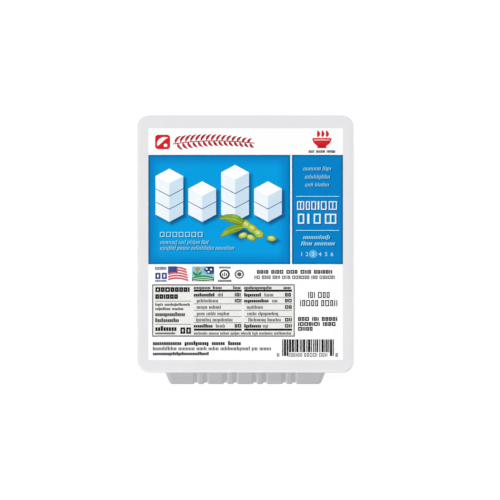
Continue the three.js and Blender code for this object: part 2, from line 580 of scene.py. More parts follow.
def rounded_plate(bm, half_x, half_y, radius):
    """One flat face with round corners."""
    corners = bmesh.ops.create_grid(bm, x_segments=1, y_segments=1, size=1)["verts"]
    bmesh.ops.scale(bm, vec=(half_x, half_y, 1), verts=corners)
    bmesh.ops.bevel(
        bm, geom=corners, offset=radius, offset_type="OFFSET", segments=CORNER_SEGMENTS,
        profile=0.5, affect="VERTICES", material=-1)
    return next(iter(bm.faces))


def split_straight_sides(bm, half, axis, places):
    """Gives the two straight sides that run along an axis a point at each place."""
    for side in (-1, 1):
        wall = side * half[1 - axis]
        edge = next(
            e for e in bm.edges if all(abs(v.co[1 - axis] - wall) < TINY for v in e.verts))
        made = bmesh.ops.subdivide_edges(bm, edges=[edge], cuts=len(places))
        points = [g for g in made["geom_inner"] if isinstance(g, bmesh.types.BMVert)]
        for point, place in zip(sorted(points, key=lambda v: v.co[axis]), places):
            point.co[axis] = place


def fit_outline(verts, old, new):
    """Moves an outline's points from one level to another."""
    for vert in verts:
        for axis in (0, 1):
            start, end = old.half[axis] - old.corner, new.half[axis] - new.corner
            place = abs(vert.co[axis])
            if place > start - TINY:
                moved = end + (place - start) * new.corner / old.corner
                vert.co[axis] = math.copysign(moved, vert.co[axis])
        vert.co.z = new.z


def flute_press(along, z, flutes):
    """How deep the flutes are pressed into a wall's face at a place."""
    nearest = min(abs(along - flute * FLUTE_PITCH) for flute in flutes)
    away = math.hypot(nearest, max(z - FLUTE_TOP, 0))
    return FLUTE_DEPTH * (1 - smooth(FLUTE_FLOOR, FLUTE_EDGE, away))


def press_flutes(bm):
    """Moves the points of the walls' lower part in to the flutes' floors, and leaves the foot's."""
    for vert in bm.verts:
        z = vert.co.z
        if z > FLUTE_TOP + FLUTE_EDGE:
            continue
        for across, along in ((0, 1), (1, 0)):
            wall = reach(across, z)
            if abs(vert.co[across]) > wall - FOOT_ROUND - TINY:
                limit = wall - flute_press(vert.co[along], z, FLUTES[across])
                place = min(abs(vert.co[across]), limit)
                vert.co[across] = math.copysign(place, vert.co[across])


def make_tray():
    """Draws the tray's outline out from level to level, then presses its flutes in."""
    levels = wall_levels() + flange_levels()
    base = levels[0]
    bm = bmesh.new()
    face = rounded_plate(bm, *base.half, base.corner)
    # Points across each flute, and one beyond each edge so that the face beside it stays flat
    steps = [FLUTE_EDGE * step / FLUTE_STEPS for step in range(-FLUTE_STEPS - 1, FLUTE_STEPS + 2)]
    for wall, flutes in enumerate(FLUTES):
        places = [flute * FLUTE_PITCH + step for flute in flutes for step in steps]
        split_straight_sides(bm, base.half, 1 - wall, places)
    for vert in bm.verts:
        vert.co.z = base.z

    for old, new in zip(levels, levels[1:]):
        made = bmesh.ops.extrude_face_region(bm, geom=[face], use_keep_orig=True)["geom"]
        if old is not base:
            bmesh.ops.delete(bm, geom=[face], context="FACES_ONLY")
        face = next(g for g in made if isinstance(g, bmesh.types.BMFace))
        fit_outline(face.verts, old, new)

    press_flutes(bm)
    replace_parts(new_piece(bm, "filled_tray", TRAY_PLASTIC), "tray")


make_tray()

# ---------------------------------------------------------------------------------------------
# Film
# ---------------------------------------------------------------------------------------------


def waves(x, y, pattern):
    """One pattern of the film's waves, between -1 and 1."""
    across, along, seed = pattern
    return noise.noise(Vector((x * across, y * along, seed)))


def film_height(x, y):
    """The film's upper face: pressed down along the flange, slightly slack over the filling."""
    inside = min(FLANGE_HALF[0] - OVERHANG[0] - abs(x), FLANGE_HALF[1] - OVERHANG[1] - abs(y))
    free = smooth(-SEAL_STEP / 2, SEAL_STEP / 2, inside)
    slack = waves(x, y, BROAD_WAVES) + SMALL_WAVES_SHARE * waves(x, y, SMALL_WAVES)
    return lerp(SEAL_LEVEL, FILM_LEVEL + FILM_WAVE * slack, free)


def cut_in_cells(bm):
    """Cuts flat faces along the cells of the film, so that what lies on it bends with it."""
    for axis in (0, 1):
        normal = Vector((1 - axis, axis, 0))
        places = [vert.co[axis] for vert in bm.verts]
        first = math.ceil(min(places) / FILM_CELL)
        last = math.floor(max(places) / FILM_CELL)
        for cell in range(first, last + 1):
            bmesh.ops.bisect_plane(
                bm, geom=bm.verts[:] + bm.edges[:] + bm.faces[:], dist=TINY / 10,
                plane_co=normal * cell * FILM_CELL, plane_no=normal)


def raise_faces(bm):
    """Gives flat faces a second side, and returns the points of the lower and the upper one."""
    lower = bm.verts[:]
    made = bmesh.ops.extrude_face_region(bm, geom=bm.faces[:], use_keep_orig=True)["geom"]
    return lower, [g for g in made if isinstance(g, bmesh.types.BMVert)]


def make_film():
    """The film's plate, flat below and waved above."""
    bm = bmesh.new()
    rounded_plate(bm, FILM_HIGH.x, FILM_HIGH.y, FILM_CORNER)
    cut_in_cells(bm)
    lower, upper = raise_faces(bm)
    for vert in lower:
        vert.co.z = FILM_LOW.z
    for vert in upper:
        vert.co.z = film_height(vert.co.x, vert.co.y)
    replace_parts(new_piece(bm, "sealed_film", CLEAR_FILM), "lid_film")


make_film()

# ---------------------------------------------------------------------------------------------
# Print: shapes of each ink are drawn flat in label millimetres and then laid on the film
# ---------------------------------------------------------------------------------------------

LABEL_CORNER = Vector((-48.42 * MM, 61.64 * MM, 0))
LABEL_UNIT = (1.0007 * MM, 0.9954 * MM)     # of the layout, across and down
PRINT_LAYER = 0.02 * MM
LEAST_BREADTH = 0.04                        # of a ribbon, at its tips
POD_WAIST = 0.72                            # a pod's breadth between two beans, as a share
OPEN_FROM = 2.2                             # how many strokes wide a box has to be to be open
draw = random.Random(11)


def patch(ink, u, v, side, rise):
    """A parallelogram: its lower left corner and the two sides that leave it, as u and v steps."""
    square = Matrix((
        (side[0], rise[0], 0, u + (side[0] + rise[0]) / 2),
        (-side[1], -rise[1], 0, -v - (side[1] + rise[1]) / 2),
        (0, 0, 1, 0),
        (0, 0, 0, 1),
    ))
    return bmesh.ops.create_grid(ink, x_segments=1, y_segments=1, size=0.5, matrix=square)["verts"]


def block(ink, left, top, right, bottom, corner=0.0, lean=0.0):
    """A rectangle, with round corners or leaning to the right where that is given."""
    height = bottom - top
    verts = patch(ink, left, bottom, (right - left, 0), (lean * height, -height))
    if corner:
        bmesh.ops.bevel(
            ink, geom=verts, offset=corner, offset_type="OFFSET", segments=5, profile=0.5,
            affect="VERTICES", material=-1)


def disc(ink, u, v, radius, stretch=1.0, turn=0.0, segments=32):
    """A round or oval spot, longer along a direction turned from the label's width."""
    shape = Matrix.Translation((u, -v, 0)) @ Matrix.Rotation(math.radians(turn), 4, "Z")
    shape = shape @ Matrix.Diagonal((stretch, 1, 1, 1))
    made = bmesh.ops.create_circle(ink, cap_ends=True, segments=segments, radius=radius, matrix=shape)
    return made["verts"]


def ring(ink, u, v, radius, line):
    """A round line, given by its outer radius and its width."""
    place = Matrix.Translation((u, -v, 0))
    edges = []
    for size in (radius, radius - line):
        made = bmesh.ops.create_circle(ink, cap_ends=False, segments=48, radius=size, matrix=place)
        edges += {edge for vert in made["verts"] for edge in vert.link_edges}
    bmesh.ops.bridge_loops(ink, edges=edges)


def ribbon(ink, start, bend, end, width, steps=20):
    """A band along a bent line; width gives its breadth at each share of the way."""
    verts = bmesh.ops.create_grid(ink, x_segments=steps, y_segments=1, size=1)["verts"]
    for vert in verts:
        t = (vert.co.x + 1) / 2
        place = [(1 - t) ** 2 * a + 2 * t * (1 - t) * b + t * t * c for a, b, c in zip(start, bend, end)]
        slope = [2 * (1 - t) * (b - a) + 2 * t * (c - b) for a, b, c in zip(start, bend, end)]
        aside = vert.co.y * width(t) / 2 / math.hypot(*slope)
        vert.co = (place[0] + slope[1] * aside, -place[1] + slope[0] * aside, 0)


def plain(breadth):
    """A ribbon of one breadth."""
    return lambda t: breadth


def leaf(breadth):
    """A ribbon that swells near its start and narrows to its tip."""
    return lambda t: max(breadth * math.sin(math.pi * t ** 0.8) ** 0.85, LEAST_BREADTH)


def pod(breadth, beans=3):
    """A ribbon with blunt ends and a swelling for each bean."""
    def width(t):
        tip = min(1.0, math.sin(math.pi * t) * 3) ** 0.5
        swelling = lerp(POD_WAIST, 1, abs(math.sin(math.pi * beans * t)))
        return max(breadth * tip * swelling, LEAST_BREADTH)
    return width


def open_box(ink, left, top, right, bottom, stroke, bars=0):
    """An upright frame, divided by bars; one too narrow to be open is a bar itself."""
    if right - left < OPEN_FROM * stroke:
        block(ink, left, top, right, bottom)
        return
    block(ink, left, top, right, top + stroke)
    block(ink, left, bottom - stroke, right, bottom)
    step = (right - left - stroke) / (bars + 1)
    for bar in range(bars + 2):
        place = left + bar * step
        block(ink, place, top + stroke, place + stroke, bottom - stroke)


def lay(ink, name, material, layer):
    """Lays flat shapes on the film, bent with it and closed on all sides, up to a print layer."""
    bmesh.ops.scale(ink, vec=(*LABEL_UNIT, 1), verts=ink.verts)
    bmesh.ops.translate(ink, vec=LABEL_CORNER, verts=ink.verts)
    cut_in_cells(ink)
    lower, upper = raise_faces(ink)
    for verts, lift in ((lower, -PRINT_LAYER / 2), (upper, layer * PRINT_LAYER)):
        for vert in verts:
            vert.co.z = film_height(vert.co.x, vert.co.y) + lift
    new_piece(ink, name, material)


# ---------------------------------------------------------------------------------------------
# Lines of print: rows of plain strokes or of open boxes, grouped as words
# ---------------------------------------------------------------------------------------------

# Weights: a stroke's width and the space after it, as shares of the line's height
LIGHT = (0.17, 0.15)
THIN = (0.16, 0.18)
FINE = (0.22, 0.12)
MEDIUM = (0.21, 0.14)
BOLD = (0.3, 0.11)
DARK = (0.35, 0.09)
HEAVY = (0.42, 0.07)
LARGE = (0.15, 0.14)
HEADING = (0.34, 0.07)

LETTERS = (3, 8)                        # fewest and most letters in a word
ONE_WORD = (99, 99)                     # more letters than any line has room for
LEAST_WORD = 9                          # strokes of room that a line's last word needs

STROKES = (1, 2, 2, 3)                  # how many strokes a letter may have
TALL_ODDS = 0.3                         # how often a letter starts with a tall stroke
LOW_TOP = 0.26                          # how far the other strokes stay under the line's top
TAIL_ODDS = 0.06                        # how often a stroke has a tail, and how long it is
TAIL = 0.2
SLANT = 0.25
LETTER_SPACE, WORD_SPACE = 0.3, 1.6     # between letters in spaces, between words in strokes

BOX_WIDTHS = (0, 1, 1, 1.5)             # how many strokes and spaces a box is wider than a stroke
BOX_SPACE, BOX_WORD_SPACE = 1.2, 2      # between boxes in spaces, between words in strokes


def type_line(ink, left, right, top, bottom, weight, letters=LETTERS, lean=0.0):
    """A line of small strokes from left to right, between its tallest strokes' top and its foot."""
    height = bottom - top
    stroke, space = (share * height for share in weight)
    place = left
    while place + stroke <= right:
        for letter in range(draw.randint(*letters)):
            tall = draw.random() < TALL_ODDS
            for upright in range(draw.choice(STROKES)):
                if place + stroke > right:
                    return
                start = top if tall and upright == 0 else top + LOW_TOP * height
                foot = bottom if draw.random() > TAIL_ODDS else bottom + TAIL * height
                shift = lean * (bottom - foot)
                block(ink, place + shift, start, place + shift + stroke, foot, lean=lean)
                place += stroke + space
            place += LETTER_SPACE * space
        if right - place > LEAST_WORD * stroke:
            place += WORD_SPACE * stroke


def box_line(ink, left, right, top, bottom, weight, letters=LETTERS):
    """A line of even height: uprights and open boxes."""
    height = bottom - top
    stroke, space = (share * height for share in weight)
    place = left
    while place + stroke <= right:
        for mark in range(draw.randint(*letters)):
            wide = stroke + draw.choice(BOX_WIDTHS) * (stroke + space)
            if place + wide > right:
                wide = stroke
            if place + wide > right:
                return
            open_box(ink, place, top, place + wide, bottom, stroke)
            place += wide + BOX_SPACE * space
        if right - place > LEAST_WORD * stroke:
            place += BOX_WORD_SPACE * stroke


# ---------------------------------------------------------------------------------------------
# Ground of the label
# ---------------------------------------------------------------------------------------------

# Fields: left, top, right and bottom
LABEL = (0.02, 0.07, 97.1, 124.4)
MAIN_PANEL = (0.02, 14.41, 70.82, 73.04)
SIDE_PANEL = (71.62, 14.41, 97.1, 73.04)
TABLE = (2.0, 83.9, 73.0, 111.9)
TABLE_CORNER = 0.6
PANEL_GLOW = 7.5 * MM                   # how far in from its edge a panel grows lighter
PANEL_RIM = 1.4 * MM                    # and how wide its dark edge is

# The four stacks of cut blocks: left edge, tip, lowest point and how many blocks high
STACKS = ((3.6, 21.8, 50.4, 3), (20.0, 28.6, 50.4, 2), (36.4, 19.8, 50.4, 3), (52.8, 28.6, 50.4, 2))
STACK_WIDTH = 13.8
STACK_SLIT = 0.45
ISOMETRIC = math.tan(math.radians(30))

# Soft shadows of the print: middle, half width and half height, and their softness
SHADOW_SHIFT = (1.4, 1.4)
SHADOW_DEPTH = 0.85
STACK_SHADOWS = tuple(
    (left + STACK_WIDTH / 2 + SHADOW_SHIFT[0], (tip + low) / 2 + SHADOW_SHIFT[1],
     STACK_WIDTH / 2, (low - tip) / 2, 1.6)
    for left, tip, low, blocks in STACKS
)
POD_SHADOWS = ((46.5, 56.6, 9.5, 3.6, 1.8), (62.4, 60.6, 3.0, 2.0, 1.3))


def label_x(u):
    """Where a place across the label lies on the pack."""
    return LABEL_CORNER.x + u * LABEL_UNIT[0]


def label_y(v):
    """Where a place down the label lies on the pack."""
    return LABEL_CORNER.y - v * LABEL_UNIT[1]


def make_panel_ink(name, panel, glow, shadows):
    """Blue ink, lighter in the middle by the glow, with a dark rim line and soft shadows."""
    deep, thin, bright = srgb(0, 127, 197), srgb(0, 132, 204), srgb(0, 156, 222)
    line, shade = srgb(0, 98, 138), srgb(0, 52, 110)
    material, tree, shader, position = new_material(name, deep)
    tone = use_group(tree, INK_TONE, Position=position, Ink=deep, Thin_Ink=thin, Unevenness=0.5)

    left, top, right, bottom = panel
    place = {
        "Position": position,
        "Middle_X": label_x((left + right) / 2), "Middle_Y": label_y((top + bottom) / 2),
        "Half_Width": (right - left) / 2 * LABEL_UNIT[0],
        "Half_Height": (bottom - top) / 2 * LABEL_UNIT[1],
    }
    middle = use_group(tree, BOX_FADE, Reach=PANEL_GLOW, **place)["Mask"]
    colour = blend_colours(tree, calc(tree, "MULTIPLY", middle, glow), tone["Colour"], bright)
    for u, v, half_width, half_height, softness in shadows:
        mask = use_group(
            tree, STACK_SHADOW, Position=position,
            Middle_X=label_x(u), Middle_Y=label_y(v),
            Half_Width=half_width * MM, Half_Height=half_height * MM, Softness=softness * MM)["Mask"]
        colour = blend_colours(tree, calc(tree, "MULTIPLY", mask, SHADOW_DEPTH), colour, shade)
    rim = use_group(tree, BOX_FADE, Reach=PANEL_RIM, **place)["Mask"]
    tree.links.new(blend_colours(tree, rim, line, colour), shader.inputs["Base Color"])
    give_film_finish(tree, shader, position)
    return material


def print_ground():
    """The white label, its two blue panels and the table's tinted field."""
    white, main, side, field = (bmesh.new() for count in range(4))
    block(white, *LABEL)
    block(main, *MAIN_PANEL)
    block(side, *SIDE_PANEL)
    block(field, *TABLE, corner=TABLE_CORNER)
    main_blue = make_panel_ink("main_panel_blue", MAIN_PANEL, 1.0, STACK_SHADOWS + POD_SHADOWS)
    side_blue = make_panel_ink("side_panel_blue", SIDE_PANEL, 0.0, ())
    lay(white, "label_white", WHITE_INK, 1)
    lay(main, "main_panel", main_blue, 2)
    lay(side, "side_panel", side_blue, 2)
    lay(field, "table_field", make_ink("field_tint", srgb(237, 236, 233), srgb(231, 230, 227)), 2)


print_ground()

# ---------------------------------------------------------------------------------------------
# Pictures on the main panel
# ---------------------------------------------------------------------------------------------


def print_stacks():
    """Four stacks of cut blocks, seen over a corner: white tops, pale left and shaded right faces."""
    tops, lefts, rights = (bmesh.new() for count in range(3))
    half = STACK_WIDTH / 2
    slope = half * ISOMETRIC
    for left, tip, low, blocks in STACKS:
        patch(tops, left, tip + slope, (half, slope), (half, -slope))
        height = low - tip - 2 * slope
        thick = (height - STACK_SLIT * (blocks - 1)) / blocks
        for level in range(blocks):
            foot = tip + slope + thick + level * (thick + STACK_SLIT)
            patch(lefts, left, foot, (half, slope), (0, -thick))
            patch(rights, left + half, foot + slope, (half, -slope), (0, -thick))
    lay(tops, "stack_tops", WHITE_INK, 3)
    lay(lefts, "stack_left_faces", make_ink("pale_tint", srgb(240, 246, 250), srgb(230, 240, 247)), 3)
    lay(rights, "stack_right_faces", make_ink("shaded_tint", srgb(205, 225, 239), srgb(193, 217, 234)), 3)


# Middles of the beans that swell in the pod, and of the loose ones with the way each is turned
POD_BEANS = ((48.6, 51.5), (51.6, 53.5), (54.4, 56.1))
LOOSE_BEANS = ((61.4, 59.2, -8), (47.2, 57.6, 20), (51.2, 58.8, -25))
LEAF_EDGE, POD_EDGE = 0.55, 0.3         # how far their darker edges stand out


def print_pods():
    """Two leaves, a pod and three loose beans, each on a darker one that shows as its edge."""
    edges, leaves, pods, lights, seams = (bmesh.new() for count in range(5))
    for ink, extra in ((edges, LEAF_EDGE), (leaves, 0)):
        ribbon(ink, (48.5, 52.0), (42.5, 46.8), (35.0 - extra, 48.6), leaf(4.3 + extra))
        ribbon(ink, (48.0, 53.0), (41.0, 53.4), (36.2 - extra, 58.4 + extra), leaf(3.9 + extra))
    ribbon(seams, (48.3, 52.2), (42.5, 47.3), (36.0, 48.8), plain(0.22))
    ribbon(seams, (47.8, 53.2), (41.0, 53.8), (37.0, 57.8), plain(0.22))
    for ink, extra in ((edges, POD_EDGE), (pods, 0)):
        start, end = (46.5 - extra, 50.4 - extra), (56.8 + extra, 58.6 + extra)
        ribbon(ink, start, (52.0, 53.4), end, pod(4.0 + 2 * extra))
    ribbon(seams, (46.9, 51.1), (52.0, 54.3), (56.2, 58.4), plain(0.2))
    for u, v in POD_BEANS:
        disc(lights, u, v, 0.95, 1.35, -38)
    for u, v, turn in LOOSE_BEANS:
        disc(edges, u, v, 1.7, 1.5, turn)
        disc(pods, u, v, 1.4, 1.55, turn)
        disc(lights, u - 0.25, v - 0.3, 0.85, 1.5, turn)
    lay(edges, "edge_print", make_ink("edge_green", srgb(88, 108, 24), srgb(108, 126, 34), 1.0), 3.5)
    lay(leaves, "leaf_print", make_ink("leaf_green", srgb(112, 150, 36), srgb(150, 182, 52), 1.0), 4)
    lay(pods, "pod_print", make_ink("pod_green", srgb(158, 184, 48), srgb(190, 207, 84), 1.0), 4)
    lay(lights, "bean_print", make_ink("bean_green", srgb(208, 219, 120), srgb(226, 232, 160), 1.0), 5)
    lay(seams, "seam_print", make_ink("seam_green", srgb(206, 220, 120), srgb(176, 196, 90), 1.0), 5)


print_stacks()
print_pods()

# ---------------------------------------------------------------------------------------------
# White and pale print on the blue panels
# ---------------------------------------------------------------------------------------------

# Lines of pale strokes: left, right, top, foot and weight
PALE_LINES = (
    (5.8, 29.8, 60.2, 62.3, LIGHT),
    (5.8, 42.6, 63.3, 65.4, LIGHT),
    (77.2, 91.4, 20.6, 22.8, LIGHT),
    (78.0, 90.7, 25.0, 27.2, LIGHT),
    (78.1, 90.5, 29.3, 31.4, LIGHT),
    (77.1, 91.0, 57.5, 59.6, BOLD),
    (76.1, 93.1, 60.8, 63.0, BOLD),
)
# A row of seven small boxes: their left edges, then their width, top, foot and stroke
SMALL_BOXES = tuple(5.8 + 3.15 * box for box in range(7))
SMALL_BOX = (2.3, 55.8, 58.5, 0.38)
# Two rows of large marks: top, foot and stroke, then each mark's sides and its inner bars
LARGE_MARKS = (
    (39.3, 43.9, 0.55, ((74.2, 77.8, 1), (78.6, 80.6, 0), (81.3, 83.7, 0), (84.5, 85.3, 0),
                        (86.1, 88.9, 0), (90.0, 94.1, 1))),
    (46.0, 51.4, 0.75, ((74.6, 77.8, 0), (79.3, 80.4, 0), (82.5, 86.0, 0), (88.1, 93.8, 1))),
)
PANEL_RULES = (36.75, 55.0)
PANEL_RULE = (73.7, 95.2, 0.19)         # its ends, and half its height
LINE_SHADOW = 0.38

# The numbers of the scale and where each stands, then their foot and size
SCALE_NUMBERS = ((1, 76.5), (2, 79.2), (3, 82.2), (4, 85.7), (5, 88.7), (6, 91.6))
NUMBER_FOOT = 68.7
NUMBER_SIZE = 3.0
SCALE_MARK = (82.2, 67.6, 2.1)          # middle and radius of the spot behind the 3


def print_white_lines():
    """White marks, fine cool ones and pale lines on the blue panels, each with a thin dark shadow."""
    white, fine, soft = (bmesh.new() for count in range(3))
    width, top, bottom, stroke = SMALL_BOX
    for left in SMALL_BOXES:
        open_box(fine, left, top, left + width, bottom, stroke)
    left, right, half = PANEL_RULE
    for level in PANEL_RULES:
        block(fine, left, level - half, right, level + half)
    for line in PALE_LINES:
        type_line(soft, *line, lean=SLANT)
    for top, bottom, stroke, marks in LARGE_MARKS:
        for left, right, bars in marks:
            open_box(white, left, top, right, bottom, stroke, bars)

    shadows = make_ink("shadow_blue", srgb(0, 62, 118), srgb(0, 72, 128))
    bright = make_ink("soft_white", srgb(222, 240, 248), srgb(208, 234, 245))
    cool = make_ink("cool_white", srgb(170, 230, 250), srgb(156, 224, 246))
    pale = make_ink("pale_blue_white", srgb(140, 205, 229), srgb(124, 197, 225))
    for ink, name, material in (
            (white, "white_marks", bright), (fine, "fine_marks", cool), (soft, "pale_lines", pale)):
        shadow = ink.copy()
        bmesh.ops.translate(shadow, vec=(LINE_SHADOW, -LINE_SHADOW, 0), verts=shadow.verts)
        lay(shadow, name + "_shadow", shadows, 2.5)
        lay(ink, name, material, 3)


def print_scale():
    """The numbers of the scale, with a pale spot behind the one that is marked."""
    ink = bmesh.new()
    for number, u in SCALE_NUMBERS:
        curve = bpy.data.curves.new("number", "FONT")
        curve.body = str(number)
        curve.size = NUMBER_SIZE
        curve.align_x = "CENTER"
        curve.resolution_u = 3
        text = bpy.data.objects.new("number", curve)
        mesh = text.to_mesh()
        mesh.transform(Matrix.Translation((u, -NUMBER_FOOT, 0)))
        ink.from_mesh(mesh)
        text.to_mesh_clear()
        bpy.data.objects.remove(text)
        bpy.data.curves.remove(curve)
    lay(ink, "scale_numbers", make_ink("number_white", srgb(190, 226, 241), srgb(176, 219, 238)), 4)

    spot = bmesh.new()
    disc(spot, *SCALE_MARK)
    lay(spot, "scale_mark", make_ink("pale_blue", srgb(96, 176, 220), srgb(110, 184, 224)), 3)


print_white_lines()
print_scale()

# ---------------------------------------------------------------------------------------------
# Small pictures in red and in colours
# ---------------------------------------------------------------------------------------------

# The sprig's stem as start, bend and end, then its leaves: where the first pair stands, how far
# and how high the row of them reaches, and their lengths at both its ends, above and below it
SPRIG_STEM = ((12.4, 8.6), (31.0, 5.4), (53.0, 8.2))
SPRIG_PAIRS = 15
SPRIG_START = (13.4, 8.2)
SPRIG_REACH, SPRIG_ARCH = 36.2, 1.45
UPPER_LEAVES, LOWER_LEAVES = (4.0, 2.6), (3.4, 2.4)
LOWER_SHIFT = 1.2                       # how much further on the lower leaves stand

BOWL = (86.6, 5.4, 4.8)                 # middle of its rim, and radius


def print_sprig(ink):
    """A bent stem with leaves on both sides, smaller towards its tip."""
    ribbon(ink, *SPRIG_STEM, plain(0.5), 40)
    for pair in range(SPRIG_PAIRS):
        along = pair / (SPRIG_PAIRS - 1)
        u = SPRIG_START[0] + SPRIG_REACH * along
        v = SPRIG_START[1] - 4 * SPRIG_ARCH * along * (1 - along)
        for side, shift, sizes in ((-1, 0, UPPER_LEAVES), (1, LOWER_SHIFT, LOWER_LEAVES)):
            start, size = u + shift, lerp(*sizes, along)
            ribbon(
                ink, (start, v), (start + 0.1 * size, v + side * 0.75 * size),
                (start + 0.8 * size, v + side * size), leaf(1.3), 12)


def print_bowl(red, white):
    """A half round bowl on a foot, with a pale line under its rim and three wisps of steam."""
    middle, rim, radius = BOWL
    for vert in disc(red, middle, rim, radius, segments=40):
        vert.co.y = min(vert.co.y, -rim)
    block(red, middle - 2.3, 9.4, middle + 2.3, 10.8)
    for u in (middle - 2.2, middle, middle + 2.2):
        ribbon(red, (u, 4.9), (u + 1.1, 3.0), (u - 0.2, 1.2), leaf(1.6), 12)
    block(white, middle - 4.0, 6.3, middle + 4.0, 6.6)


def print_red():
    """A square mark with a leaf and a dot, the sprig beside it and the bowl at the top right."""
    red, dark, white = (bmesh.new() for count in range(3))
    block(red, 3.4, 3.6, 10.9, 11.4, corner=1.6)
    ribbon(white, (4.6, 9.6), (6.0, 5.4), (9.8, 5.2), leaf(2.2))
    disc(white, 8.6, 9.3, 0.9)
    print_sprig(dark)
    print_bowl(red, white)
    lay(red, "red_print", make_ink("red_ink", srgb(206, 24, 36), srgb(218, 42, 48), 0.8), 2)
    lay(dark, "sprig_print", make_ink("dark_red_ink", srgb(168, 32, 44), srgb(190, 52, 60), 0.8), 2)
    lay(white, "red_print_details", WHITE_INK, 3)


FARM = (21.8, 74.3, 32.8, 82.2)
TAB = (27.7, 74.3, 32.8, 78.3)
FIELD_TOP = 80.2


def print_stripes(red, navy):
    """Five waving stripes, the upper two shorter for a dark corner."""
    for stripe in range(5):
        v = 75.5 + 1.42 * stripe
        start = 14.5 if stripe < 2 else 9.9
        ribbon(red, (start, v + 0.2), (14.0, v - 1.7), (19.0 + 0.25 * stripe, v + 0.6), plain(0.95), 16)
    block(navy, 9.8, 74.2, 14.4, 78.0)


def print_farm(pale, navy, green, ochre, white):
    """A plant on a furrowed hill under a pale sky, with a dotted dark tab at the top right."""
    left, top, right, bottom = FARM
    block(pale, *FARM, corner=0.7)
    block(navy, *TAB, corner=0.7)
    block(green, left, FIELD_TOP, right, bottom)
    for vert in disc(green, (left + right) / 2, 81.2, 2.2, 2.5):
        vert.co.y = max(vert.co.y, -bottom)
    ribbon(green, (24.4, 80.0), (24.2, 77.6), (24.6, 76.0), plain(0.5), 8)
    ribbon(green, (24.4, 79.0), (22.9, 78.6), (22.3, 76.8), leaf(1.4), 12)
    ribbon(green, (24.5, 78.8), (26.0, 78.4), (26.7, 76.6), leaf(1.4), 12)
    disc(ochre, 24.6, 75.6, 1.1, 1.2)
    for u, v in ((29.2, 75.6), (31.3, 75.9), (30.1, 77.2)):
        disc(white, u, v, 0.5)
    for foot in (80.9, 81.9):
        ribbon(white, (22.4, foot), ((left + right) / 2, foot - 1.2), (32.2, foot), plain(0.26), 12)


def print_marks():
    """Small marks under the main panel: boxes, stripes, a small farm picture and a grey ring."""
    navy, red, green, pale, ochre, grey, white = (bmesh.new() for count in range(7))
    box_line(navy, 3.4, 9.4, 74.5, 76.1, BOLD)
    open_box(navy, 3.5, 77.7, 6.1, 81.0, 0.9)
    open_box(navy, 6.7, 77.7, 9.3, 81.0, 0.9)
    box_line(navy, 3.4, 9.4, 81.5, 82.5, BOLD)
    print_stripes(red, navy)
    print_farm(pale, navy, green, ochre, white)
    ring(grey, 45.4, 78.5, 2.35, 0.7)
    disc(grey, 45.4, 78.5, 1.1)
    lay(navy, "navy_print", make_ink("navy_ink", srgb(44, 62, 130), srgb(66, 84, 150), 0.8), 2)
    lay(red, "stripe_print", make_ink("stripe_red", srgb(204, 84, 92), srgb(216, 108, 114), 0.8), 2)
    lay(green, "green_print", make_ink("green_ink", srgb(46, 142, 72), srgb(76, 160, 92), 0.8), 3)
    lay(pale, "pale_print", make_ink("sky_ink", srgb(136, 196, 219), srgb(160, 206, 226), 0.8), 2)
    lay(ochre, "bloom_print", make_ink("ochre_ink", srgb(172, 148, 84), srgb(190, 168, 104), 0.8), 4)
    lay(white, "small_white_marks", WHITE_INK, 4)
    lay(grey, "grey_print", make_ink("grey_ink", srgb(84, 86, 92), srgb(104, 106, 112), 0.8), 2)


print_red()
print_marks()

# ---------------------------------------------------------------------------------------------
# Black print
# ---------------------------------------------------------------------------------------------

# Lines of boxes: left, right, top, foot and weight
BOX_LINES = (
    (80.0, 93.4, 12.0, 13.3, BOLD),     # under the bowl
    (35.3, 41.3, 74.4, 75.3, BOLD),     # over and under the dark ring
    (34.8, 41.8, 81.5, 82.5, BOLD),
    (54.2, 92.1, 76.2, 78.2, BOLD),     # right of the small marks
    (52.9, 93.5, 79.2, 81.0, MEDIUM),
    (79.7, 91.1, 88.0, 91.2, LARGE),    # right of the table
    (75.7, 94.6, 92.3, 95.6, LARGE),
    (74.7, 95.1, 101.4, 103.5, BOLD),
    (74.7, 94.1, 104.1, 106.2, BOLD),
    (74.7, 82.6, 106.7, 108.8, BOLD),
)
# Lines of strokes under the table: the same, and the letters in a word
STROKE_LINES = (
    (2.3, 47.2, 114.3, 116.5, HEAVY, LETTERS),
    (2.3, 61.7, 117.2, 119.3, FINE, LETTERS),
    (2.3, 30.3, 120.1, 121.9, HEAVY, ONE_WORD),
)
DARK_RING = (38.1, 78.5, 2.6, 0.85)
RING_BARS = ((36.9, 78.0), (37.85, 77.4), (38.8, 77.8))     # left and top of each
RING_BAR_FOOT, RING_BAR_WIDTH = 79.5, 0.5

# The table's frame: width of its upright lines, height of its level ones
TABLE_FRAME = (0.45, 0.55)
TABLE_RULE = 0.13                       # half the height of a rule, and of a bar
TABLE_BAR = 0.56

# Its first column: right, top and foot of the headings, then the same, weight and letters of
# the lines of strokes
FIRST_COLUMN = (3.5, 21.3)
HEADINGS = ((21.3, 85.4, 88.0), (15.4, 89.2, 91.7))
NOTES = (
    (21.2, 93.9, 95.4, BOLD, LETTERS),
    (17.5, 96.2, 97.7, BOLD, LETTERS),
    (19.0, 98.8, 101.0, DARK, LETTERS),
    (15.8, 102.0, 104.2, DARK, LETTERS),
    (15.0, 106.2, 108.9, HEAVY, ONE_WORD),
    (13.4, 109.4, 110.7, DARK, LETTERS),
)
NOTE_BOXES = (16.0, 18.9)
NOTE_BOX = (2.4, 107.0, 110.4, 0.9)     # width, top, foot and stroke
NOTE_RULES = (92.9, 105.3)

